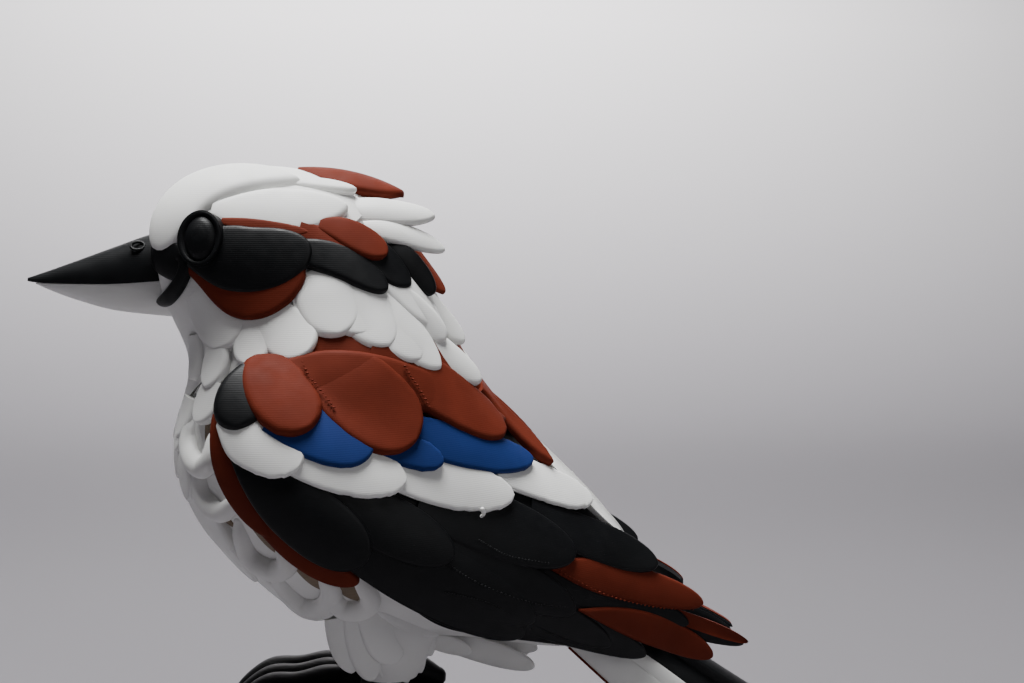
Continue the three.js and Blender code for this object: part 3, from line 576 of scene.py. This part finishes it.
# ---- head -------------------------------------------------------------------------------------
brow = laid(core, [
    [[1.75, 92], [4.8, 29.5], 15.5, {"by": [2.05, 45], "base": 0.3, "swell": 0.6, "blunt": 1.6,
                                     "lift": (0.9, 1.0), "edge": 2.2, "crown": 0.5,
                                     "nu": 60, "nv": 31}],
    [[3.15, 60.5], [6.05, 34.5], 11.2, {"by": [4.72, 55], "base": 0.4, "widest": 0.5, "blunt": 1.6,
                                        "lift": (0.5, 1.6), "edge": 1.4}],
    [[4.3, 31.5], [5.93, 20], 3.8, {"widest": 0.5, "blunt": 2.2, "lift": (0.2, 1.8), "edge": 0.9,
                                    "crown": 0.5}],
], depth=1.2)
crest = loose([
    [[-5.1, -10, 120.6], [13.9, -6, 118.9], 7.0, [0.06, -0.82, 0.57], 7, {"bow": 0.6}],
    [[0.8, -12.0, 116.9], [15.8, -7, 112.2], 5.8, [0.17, -0.87, 0.47], 7, {"bow": 1}],
], blunt=1.9, edge=0.8, tuck=1.4)
throat = laid(core, [
    [[3.6, 106], [5.85, 121.5], 12.5, {"base": 0.8, "blunt": 2.3, "lift": (0.1, 1.0)}],
    [[6.2, 96.5], [8.12, 80.3], 10, {"base": 0.9, "widest": 0.55, "blunt": 2.6,
                                     "lift": (0.3, 2.0)}],
    [[6.2, 99], [7.38, 105], 8.6, {"base": 0.9, "blunt": 2.4, "lift": (0.3, 1.3)}],
    [[4.1, 135], [6.0, 143], 4.5, {"lift": (0.7, 1.4)}],
], depth=1.2, edge=0.9)
build("head", white, [core_part(0, 6.4)] + two_sided(brow + crest + throat))
build("crown", brown, loose([
    [[-12.6, 0, 128.2], [8.1, 0, 123.6], 12, [0.21, 0, 0.98], 5,
     {"base": 0.6, "camber": 1.4, "thick": 2.4, "edge": 0.9}],
]))

both("mask", black, laid(core, [
    [[3.0, 85.5], [6.0, 62.5], 12.0, {"by": [4.85, 82.5], "base": 0.6, "widest": 0.4, "blunt": 3.4,
                                      "lift": (1.6, 2.1), "edge": 0.7, "crown": 0.4}],
]))
both("ear_brown", brown, laid(core, [
    [[5.8, 52.5], [7.42, 37.5], 6.6, {"base": 0.5, "widest": 0.6, "blunt": 2.8, "lift": (1.7, 2.9),
                                      "edge": 0.9, "tuck": 0.5}],
    [[5.5, 60.5], [6.8, 53], 4.6, {"base": 1.0, "lift": (1.1, 1.8)}],
    [[3.55, 68.5], [5.75, 58.5], 3.2, {"by": [4.7, 66.5], "lift": (1.0, 1.3), "base": 0.5}],
]))
both("ear_black", black, laid(core, [
    [[6.0, 66.5], [8.0, 43], 6.8, {"blunt": 2.6, "lift": (1.6, 2.3)}],
    [[6.9, 42], [8.2, 29.5], 7.4, {"blunt": 2.6, "lift": (1.5, 2.1)}],
], edge=0.9) + loose([
    [[5.6, -11.6, 113.6], [13.5, -10, 103.8], 6.0, [0.26, -0.94, 0.22], 9,
     {"thick": 2.6, "edge": 0.8, "tuck": 1.4}],
]))
build("nape", brown, two_sided(loose([
    [[6.6, -2.2, 116.4], [16.0, -2.6, 103.8], 6.4, [0.68, -0.5, 0.53], 8, {"thick": 1.6}],
])))
both("cheek", brown, laid(core, [
    [[2.66, 94], [6.24, 70.5], 9.2, {"by": [5.3, 96], "base": 0.25, "widest": 0.5, "blunt": 3,
                                     "lift": (1.2, 1.7), "edge": 0.8}],
]))

# ---- collar -----------------------------------------------------------------------------------
collar = laid(core, [
    [[6.5, 67.5], [8.22, 67.8], 12, {"base": 0.9, "blunt": 2.8, "lift": (0.8, 1.7)}],
    [[7.0, 60], [8.5, 59.3], 11, {"blunt": 2.6, "lift": (0.7, 1.5)}],
    [[7.1, 57], [8.95, 51.8], 12, {"blunt": 2.6, "lift": (0.8, 1.7)}],
    [[7.9, 48], [9.45, 42.5], 11, {"blunt": 2.4, "lift": (0.8, 2.1)}],
    [[7.7, 50], [9.75, 35.5], 11, {"blunt": 2.2, "lift": (0.8, 2.4)}],
    [[7.3, 34], [9.2, 22], 12, {"lift": (1.0, 2.2)}],
], edge=1.5, crown=0.4, tuck=0.8) + loose([
    [[5.8, -15, 104.8], [15.5, -14, 95.3], 7.0, [0.3, -0.91, 0.3], 9, {"thick": 2.0}],
    [[10.3, -8, 105.3], [19.6, -7, 94.3], 6.5, [0.54, -0.71, 0.46], 8, {"thick": 2.0}],
    [[7.6, -16, 99.3], [22.5, -12, 87.2], 8.0, [0.41, -0.77, 0.5], 9, {"thick": 2.0}],
], edge=1.0)
middle_collar = laid(core, [[[7.6, 0], [9.5, 0], 13, {"lift": (1.4, 1.8)}]], edge=1.1)
build("collar", white, two_sided(collar) + middle_collar)

# ---- folded wing, from the uppermost tier down ------------------------------------------------
both("shoulder", black, laid(wing, [
    [[-18.8, 90.3], [-21.3, 81.2], 9.4, {"bow": -0.8, "base": 0.7, "blunt": 2.6,
                                         "lift": (2.0, 2.0), "edge": 1.4}],
]))
both("coverts_brown", brown, laid(wing, [
    [[-15.0, 88.2], [26.0, 78.2], 8.8, {"by": [1.6, 89.0], "lift": (2.1, 2.1), "edge": 0.9}],
    [[-16.7, 92.5], [-9.6, 80.4], 12.4, {"by": [-14.6, 87.0], "base": 0.55, "swell": 0.6,
                                         "widest": 0.5, "blunt": 2.6, "lift": (2.4, 3.4),
                                         "tuck": 0.3, "edge": 1.2}],
    [[-4.4, 90.2], [8.2, 77.4], 15.4, {"by": [0.3, 84.7], "base": 0.85, "swell": 0.6, "widest": 0.5,
                                       "blunt": 3.0, "lift": (2.4, 3.2), "tuck": 0.4, "edge": 0.9,
                                       "crown": 0.12}],
    [[8.4, 89.4], [25.0, 76.6], 12.0, {"base": 0.8, "swell": 0.6, "blunt": 2.5, "lift": (2.2, 3.0),
                                       "tuck": 0.4, "edge": 0.9, "crown": 0.15}],
    [[21.4, 84.8], [35.4, 69.3], 4.6, {"blunt": 2.0, "lift": (1.8, 2.6)}],
], edge=0.8, ragged=0.05)
     + seam(wing, [[-10.4, 91.4], [-9.6, 89.2], [-8.4, 87.4], [-7.2, 85.5], [-5.9, 83.5]],
            lift=2.95, count=14, radius=0.30, seed=3)
     + seam(wing, [[6.0, 90.4], [7.0, 88.6], [8.1, 86.9], [9.2, 85.0], [10.3, 82.9]],
            lift=2.85, count=13, radius=0.30, seed=4))
both("coverts_blue", blue, laid(wing, [
    [[-15.2, 84.4], [0.8, 76.4], 11.6, {"lift": (1.8, 2.6)}],
    [[8.0, 79.4], [31.0, 70.8], 8.4, {"lift": (1.5, 2.3)}],
    [[0.1, 79.4], [13.2, 73.6], 6.4, {"lift": (1.7, 2.5)}],
], edge=0.6, ragged=0.05))
both("coverts_white", white, laid(wing, [
    [[-24.2, 83.2], [-10.8, 75.3], 10.0, {"lift": (1.1, 2.0), "base": 0.3, "blunt": 2.6}],
    [[-12.5, 78.2], [6.7, 71.4], 10.4, {"lift": (1.0, 1.9)}],
    [[4.8, 73.8], [26.6, 66.2], 9.6, {"lift": (0.8, 1.8)}],
    [[24.0, 71.8], [43.7, 62.2], 9.0, {"lift": (0.8, 1.7), "blunt": 2.2}],
    [[34.8, 72.0], [50.5, 55.8], 2.6, {"lift": (-0.4, 0.2), "ragged": 0}],
], widest=0.4, edge=0.6, ragged=0.10, nu=64)
     + [tube([[20.9, -28.6, 66.0], [21.2, -28.0, 65.0], [20.8, -27.6, 64.4]], [0.4, 0.36, 0.26],
             rings=12, sides=8, up=(0, -1, 0))])

# the wing's own board: length along the wing's slope, its lower and upper edge and its thickness
BOARD = [
    [3.4, 2.6, 8.2, 5], [7, -0.4, 15.6, 7], [17, -4.6, 20.6, 8], [30, -8.2, 24.6, 8],
    [44, -10.8, 25.0, 6.4], [56, -13.6, 21.6, 5.5], [70, -11.8, 16.8, 4.6], [86, -9.4, 12.4, 3.6],
]
BOARD_CLEAR = 0.9       # what its back keeps from the middle plane


def wing_board():
    """A curved board under the wing's guide, rounded down at its two long edges."""
    along, low, high, thick = columns(BOARD, 70)
    share = np.linspace(0, 1, 15)
    place = wing_place(along + 0 * share, low + (high - low) * share)
    x, y, z = np.moveaxis(wing.at(place[..., 0], place[..., 1]), -1, 0)
    rim = 0.35 + 1.2 * (2 * share - 1) ** 10
    front = np.stack([x, y + rim, z], -1)
    back = np.stack([x, np.minimum(y + thick, -BOARD_CLEAR), z], -1)
    return np.concatenate([front, back[:, ::-1]], 1)


# the brown primaries: each is a thin face on a black feather of the same outline
UPPER_PRIMARIES = [
    [[32.8, 54.0], [67.3, 40.7], 7.2, {"base": 0.1, "lift": (0.2, 1.0)}],
    [[56.7, 41.1], [77.6, 31.7], 2.8, {"widest": 0.4, "lift": (-1.0, -0.6)}],
]
LOWER_PRIMARIES = [
    [[40.2, 43.8], [69.9, 29.2], 6.4, {"bow": 0.8, "base": 0.06, "widest": 0.55,
                                       "lift": (0.5, 0.3)}],
]
both("wing", black, [wing_board()] + laid(wing, [
    [[-24.0, 82.6], [0.4, 59.2], 11.8, {"bow": -1.5, "base": 0.15, "widest": 0.6, "blunt": 3,
                                        "lift": (0.4, 1.0), "tuck": 0.9}],
    [[-6.5, 71.4], [15.2, 58.0], 10.5, {"lift": (0.2, 1.4)}],
    [[9.7, 69.0], [39.1, 54.1], 12.5, {"lift": (0.2, 1.4)}],
    [[30.9, 62.6], [57.3, 49.1], 9.0, {"lift": (0.2, 1.4)}],
    [[-2.1, 61.8], [28.9, 40.9], 10, {"lift": (0.0, 0.6)}],
    [[1.9, 64.1], [30.8, 43.7], 9.5, {"lift": (0.0, 0.9)}],
    [[12.4, 61.4], [38.9, 44.0], 9, {"lift": (0.0, 1.1)}],
    [[20.3, 49.8], [55.4, 31.0], 8, {"lift": (-0.8, 0.0)}],
    [[22.2, 52.4], [47.4, 34.8], 7, {"lift": (-0.4, 0.3)}],
    [[32.0, 51.3], [64.3, 36.9], 7, {"lift": (-0.4, 0.4)}],
    [[53.5, 40.0], [77.2, 30.9], 4.4, {"lift": (-1.2, -1.0)}],
], depth=2.4, widest=0.4, edge=0.6) + laid(wing, [
    [root, tip, width - 0.3, {**own, "lift": (own["lift"][0] - 0.5, own["lift"][1] - 0.5)}]
    for root, tip, width, own in UPPER_PRIMARIES + LOWER_PRIMARIES], depth=2.0)
     + seam(wing, [[13.1, 57.6], [20.3, 52.4], [30.0, 47.4], [37.0, 45.3]],
            lift=0.95, count=40, radius=0.24, seed=6)
     + seam(wing, [[19.7, 60.0], [25.2, 56.5], [33.1, 53.8]],
            lift=1.3, count=26, radius=0.22, seed=7)
     + seam(wing, [[13.9, 52.0], [22.3, 48.5], [30.1, 42.3]],
            lift=0.7, count=34, radius=0.22, seed=8))
both("primaries_upper", brown, laid(wing, UPPER_PRIMARIES, depth=0.2)
     + seam(wing, [[36, 51.8], [46, 45.6], [56, 41.6], [65, 39.8]],
            lift=0.55, count=34, radius=0.24, seed=5))
both("primaries_lower", brown, laid(wing, LOWER_PRIMARIES, depth=0.4))
both("wing_edge", brown, laid(wing, [
    [[-24.9, 84.3], [-15.8, 62.6], 6.2, {"bow": -3.2, "base": 0.6, "widest": 0.5}],
    [[-18.0, 65.8], [-1.0, 54.4], 6.2, {"by": [-10.1, 58.9], "blunt": 2.6}],
], lift=(-0.6, -0.4), depth=3, edge=1.2))

# ---- breast, belly, thighs and back -----------------------------------------------------------


def cup(places, radius=2.1, lift=0.3):
    """The thick lip of an opening: a flattened bar along a curve of places on the core, which rises
    out of it and swells by a sine, and sinks back into it at both ends."""
    share = np.linspace(0, 1, 13)
    swell = np.sin(np.pi * share) ** 0.6
    p, _, _, n = core.frame(through(places, share * (len(places) - 1)))
    return tube(p + n * (lift + 1.6 * swell - 1.6)[:, None], radius * (0.6 + 0.4 * swell),
                flat=0.75, sides=16, up=(0, -1, 0))


cups = [
    cup([[7.4, 142.5], [8.15, 145], [8.8, 141.5], [9.1, 136], [8.9, 130], [8.3, 127]]),
    cup([[8.95, 140], [9.62, 142.5], [10.05, 140.5], [10.25, 136], [10.1, 128]]),
    cup([[10.6, 134], [11.18, 140], [11.48, 140], [11.7, 135], [11.6, 127], [11.2, 123]], 2.3),
    cup([[11.85, 141], [12.35, 147.5], [12.68, 148], [12.7, 137], [12.4, 125], [12.0, 119.5]], 2.3),
    cup([[12.0, 118.5], [12.5, 127], [12.8, 129], [12.85, 122], [12.68, 115], [12.2, 110]], 2.1),
]
# plates of painted shade: tan laid just over the sunk core, where the inside of each breast opening
# lies in shade
hollow_shade_plates = laid(core, [
    [[7.8, 130.5], [9.0, 132.5], 2.2],
    [[10.05, 142], [10.65, 137.5], 1.8],
    [[10.6, 127], [11.4, 127.5], 2.6],
    [[11.7, 124], [12.35, 126.5], 4.2],
    [[12.25, 118], [12.7, 118.5], 4.6],
], lift=(-0.35, -0.3), depth=1.2, edge=0.2, crown=0)
breast = laid(core, [
    [[6.6, 146], [8.0, 151.5], 6],
    [[5.8, 120.5], [7.0, 128], 6.5],
    [[6.9, 124], [7.9, 134.5], 7.5, {"blunt": 1.9}],
    [[7.1, 155.5], [8.4, 152], 5],
    [[8.4, 150.5], [9.8, 152.5], 6.5],
    [[9.6, 148], [11.1, 145.5], 7],
    [[10.7, 154], [11.9, 152], 7],
    [[11.7, 150], [12.7, 154], 6],
], lift=(0.8, 1.5), blunt=2.1, depth=1.2, edge=0.9)
breast_sides = laid(core, [
    [[7.0, 168], [9.2, 168], 10], [[9.4, 167], [11.0, 167], 10.5],
    [[11.1, 166], [12.3, 166], 11], [[12.5, 165], [13.4, 165], 10],
], lift=(0.0, 0.7), blunt=2.2, depth=1.2, edge=0.9)
middle = laid(core, [
    [[5.6, 180], [8.0, 180], 9], [[8.4, 180], [10.2, 180], 10], [[10.4, 180], [11.7, 180], 11],
    [[11.9, 180], [12.9, 180], 11], [[13.1, 180], [14.2, 180], 10],
    [[12.6, 0], [14.4, 0], 11, {"lift": (0.2, 1.1)}],
    [[11.2, 0], [13.3, 0], 13, {"lift": (0.2, 1.2)}],
], lift=(0.0, 0.8), blunt=2.2, depth=1.2, edge=0.9)
thighs = laid(thigh, [
    [[-6.0, 43.8], [-2.9, 32.2], 6.2, {"blunt": 1.9, "lift": (-0.3, 0.4)}],
    [[-1.8, 47.0], [0.6, 30.6], 7.0, {"blunt": 2.0, "lift": (0.1, 1.0)}],
    [[3.4, 44.0], [4.2, 29.0], 6.4, {"blunt": 2.0, "lift": (0.0, 0.7)}],
    [[6.6, 38.4], [7.4, 28.4], 4.2, {"blunt": 1.9, "lift": (0.2, 0.9)}],
    [[9.6, 39.4], [10.2, 29.6], 4.0, {"blunt": 1.9, "lift": (0.0, 0.6)}],
    [[1.4, 47.4], [4.8, 34.6], 8.6, {"lift": (0.8, 1.7)}],
    [[7.4, 46.4], [9.0, 35.0], 7.4, {"lift": (0.7, 1.4)}],
    [[11.2, 42.4], [11.8, 33.6], 4.2, {"blunt": 2.2, "lift": (0.5, 1.1)}],
    [[1.0, 48.8], [12.6, 38.6], 5.4, {"blunt": 2.2, "lift": (1.6, 2.1)}],
], blunt=2.4, depth=2.5, edge=0.8)
undertail = loose([
    [[11.3, -10, 36.0], [20.5, -8, 32.3], 4.0, [-0.06, -0.98, -0.16], 9],
    [[14.3, -6, 34.5], [33.5, -5, 27.6], 5.5, [-0.06, -0.98, -0.16], 9],
    [[22.6, -2, 33.7], [34.5, -2, 30.3], 4.0, [-0.05, -0.98, -0.17], 9],
], thick=2.4)
# levels of the leg's stump under its feathers: height, middle x and y, half length, half breadth
THIGH = [
    [29.4, 4.4, -10.4, 5.2, 4.4], [34, 3.6, -10.8, 8.4, 6.4], [40, 3.2, -11.4, 10.4, 8.0],
    [47, 3.4, -11.6, 11.0, 8.2],
]
# the torso's second material, on the plates in the openings, is painted shade
build("torso", white, [core_part(6.3, 16, rings=110, low=0.6)]
      + two_sided(cups + breast + breast_sides + thighs + undertail + [oval_stack(THIGH)])
      + middle, two_sided(hollow_shade_plates), hollow_shade)
both("mantle", brown, laid(core, [
    [[7.5, 88], [9.8, 46], 14, {"lift": (0.4, 1.3)}],
    [[8.6, 54.5], [10.4, 25], 13, {"lift": (1.2, 1.7)}],
], edge=0.9))
build("back", brown, laid(core, [[[9.0, 0], [11.8, 0], 14, {"lift": (1.3, 1.7)}]], edge=0.9))

# ---- feet -------------------------------------------------------------------------------------
# x, share of the toe's spread, z and share of its radius, from the ankle to the claw
TOE = [
    [2, 0.2, 23.8, 1.0], [-4, 0.6, 22.7, 0.88], [-9, 0.9, 22.5, 1.08], [-14.5, 1, 22.2, 0.86],
    [-20, 1, 21.4, 1.06], [-25, 1, 18.8, 0.84], [-27.2, 1, 16.2, 0.62],
]


def toe(aside):
    """A toe that bends down over the edge of the rock, thicker at its pads than at its joints."""
    x, spread, z, thick = np.transpose(TOE)
    return tube(np.stack([x, -FOOT_SPREAD - aside * spread, z], -1), TOE_RADIUS * thick)


both("foot", black, [
    toe(-TOE_SPREAD), toe(0), toe(TOE_SPREAD),
    tube([[2, -FOOT_SPREAD, 24.0], [9, -FOOT_SPREAD, 23.2], [14.4, -FOOT_SPREAD, 21.0]],
         [TOE_RADIUS, TOE_RADIUS, TOE_RADIUS * 0.66]),
    tube([[1.5, -FOOT_SPREAD, 23.5], [2, -FOOT_SPREAD, 28.5], [2.5, -FOOT_SPREAD, 33.5]],
         [3.6, 3.4, 3.4], up=(1, 0, 0)),
])

# ---- tail -------------------------------------------------------------------------------------
TAIL = {"base": 0.7, "widest": 0.6, "blunt": 2.6, "thick": 2.2, "edge": 0.6, "nu": 60}
build("tail_top", black, loose([
    [[40, 0, 47.1], [99.7, 0, 6.9], 9, [0.56, 0, 0.83], 9, {"thick": 2.6}],
], **TAIL))
both("tail_black", black, loose([
    [[40, -2.8, 45], [93.4, -5.4, 4.6], 10.5, [0.39, -0.77, 0.51], 9],
], **TAIL))
both("tail_white", white, loose([
    [[37.2, -4.6, 41.6], [83.6, -9.4, 4.6], 7.2, [0.17, -0.97, 0.2], 9],
    [[36, -5, 39.5], [76, -11.4, 5.0], 8, [0.06, -1, 0.06], 9],
], **TAIL), [
    tube([[40.4, -6.0, 31.9], [48.3, -7.2, 24.5], [56.3, -8.5, 17.3]], [0.24, 0.24, 0.2],
         rings=20, sides=8),
], brown)

# ---- rock -------------------------------------------------------------------------------------
ROCK = [
    [0, 0.955], [1.0, 0.985], [3.4, 1], [10, 0.96], [15.8, 0.8], [19.4, 0.52], [20.3, 0.25],
    [ROCK_HEIGHT, 0.02],
]


def rock():
    """Level rounds through a table of height and share of the full size, with slow waves round them
    that make it lumpy, and small ones that grow towards the top."""
    z, share = columns(ROCK, 90)
    a = turn(160)
    lump = 1 + 0.03 * np.cos(3 * a) + 0.02 * np.cos(5 * a)
    lump = lump + 0.012 * np.cos(9 * a + z / 5) * np.clip(z / 8, 0, 1)
    long, broad = ROCK_LENGTH / 2 * share * lump, ROCK_BREADTH / 2 * share * lump
    return np.stack([long * np.cos(a), broad * np.sin(a), z + 0 * a], -1)


build("rock", black, [rock()])

# ---- floor, light and camera, in metres -------------------------------------------------------
CARD_NEAR, CARD_FAR, CARD_BEND, CARD_TOP, CARD_SIDE = -1.6, 0.45, 0.65, 2.4, 2.5
# the floor's darker tone is painted shade: the card is one paper, and the ramp darkens it towards
# the floor
SHADED_FLOOR_TONE, WALL_TONE, WALL_TONE_HEIGHT = (0.185, 0.177, 0.191), (0.40, 0.385, 0.395), 0.34
CAMERA_PLACE, CAMERA_LOOK, CAMERA_LENS = (0.003, -0.240, 0.114), (0.10896, 0.99051, -0.08378), 42.19


def stage_material():
    """Matt card of one paper, with painted shade that makes it a little darker at the floor than up
    the wall.
    """
    material = bpy.data.materials.new("pale_card")
    material.use_nodes = True
    nodes, links = material.node_tree.nodes, material.node_tree.links
    shader = nodes["Principled BSDF"]
    shader.inputs["Roughness"].default_value = 0.9
    place = nodes.new("ShaderNodeTexCoord")
    parts = nodes.new("ShaderNodeSeparateXYZ")
    links.new(place.outputs["Object"], parts.inputs["Vector"])
    ramp = two_tone(nodes, (0, WALL_TONE_HEIGHT), (SHADED_FLOOR_TONE, WALL_TONE))
    links.new(parts.outputs["Z"], ramp.inputs["Fac"])
    links.new(ramp.outputs["Color"], shader.inputs["Base Color"])
    return material


def backdrop():
    """A card that lies flat as the floor and curves up behind: a profile swept sideways."""
    t = np.linspace(0, np.pi / 2, 16)
    y = np.concatenate([[CARD_NEAR], CARD_FAR + CARD_BEND * np.sin(t), [CARD_FAR + CARD_BEND]])
    z = np.concatenate([[0], CARD_BEND * (1 - np.cos(t)), [CARD_TOP]])
    x = np.array([-CARD_SIDE, CARD_SIDE])
    grid = np.stack(np.broadcast_arrays(x[None], y[:, None], z[:, None]), -1)
    n = len(y)
    i = np.arange(n - 1)
    faces = np.stack([2 * i, 2 * i + 1, 2 * i + 3, 2 * i + 2], -1)
    mesh = bpy.data.meshes.new("backdrop")
    mesh.from_pydata(grid.reshape(-1, 3), [], faces.tolist())
    mesh.polygons.foreach_set("use_smooth", np.ones(len(mesh.polygons), bool))
    mesh.materials.append(stage_material())
    card = bpy.data.objects.new("backdrop", mesh)
    bpy.context.scene.collection.objects.link(card)


def lamp(name, place, aim, size, power, spread=180):
    """A rectangular lamp at a place, turned to its aim."""
    light = bpy.data.lights.new(name, "AREA")
    light.shape, light.size, light.size_y = "RECTANGLE", size[0], size[1]
    light.energy, light.spread = power, np.radians(spread)
    holder = bpy.data.objects.new(name, light)
    holder.location = place
    holder.rotation_euler = (Vector(aim) - Vector(place)).to_track_quat("-Z", "Y").to_euler()
    bpy.context.scene.collection.objects.link(holder)


backdrop()
lamp("top_light", (-0.04, 0.02, 0.60), (0.0, 0.0, 0.05), (0.30, 0.30), 7.7)
lamp("side_light", (0.55, -0.60, 0.45), (0, 0, 0.08), (0.5, 0.5), 1.0)
lamp("wall_light", (0.04, 0.50, 1.20), (0.06, 1.10, 0.62), (0.8, 0.4), 34.0, spread=110)
world = bpy.data.worlds.new("soft_room")
world.use_nodes = True
world.node_tree.nodes["Background"].inputs["Color"].default_value = (0.78, 0.78, 0.84, 1)
world.node_tree.nodes["Background"].inputs["Strength"].default_value = 0.045
bpy.context.scene.world = world

camera = bpy.data.cameras.new("camera")
camera.sensor_width, camera.lens = 36, CAMERA_LENS
camera.clip_start, camera.clip_end = 0.01, 20
viewer = bpy.data.objects.new("camera", camera)
viewer.location = CAMERA_PLACE
viewer.rotation_euler = Vector(CAMERA_LOOK).to_track_quat("-Z", "Y").to_euler()
bpy.context.scene.collection.objects.link(viewer)
bpy.context.scene.camera = viewer
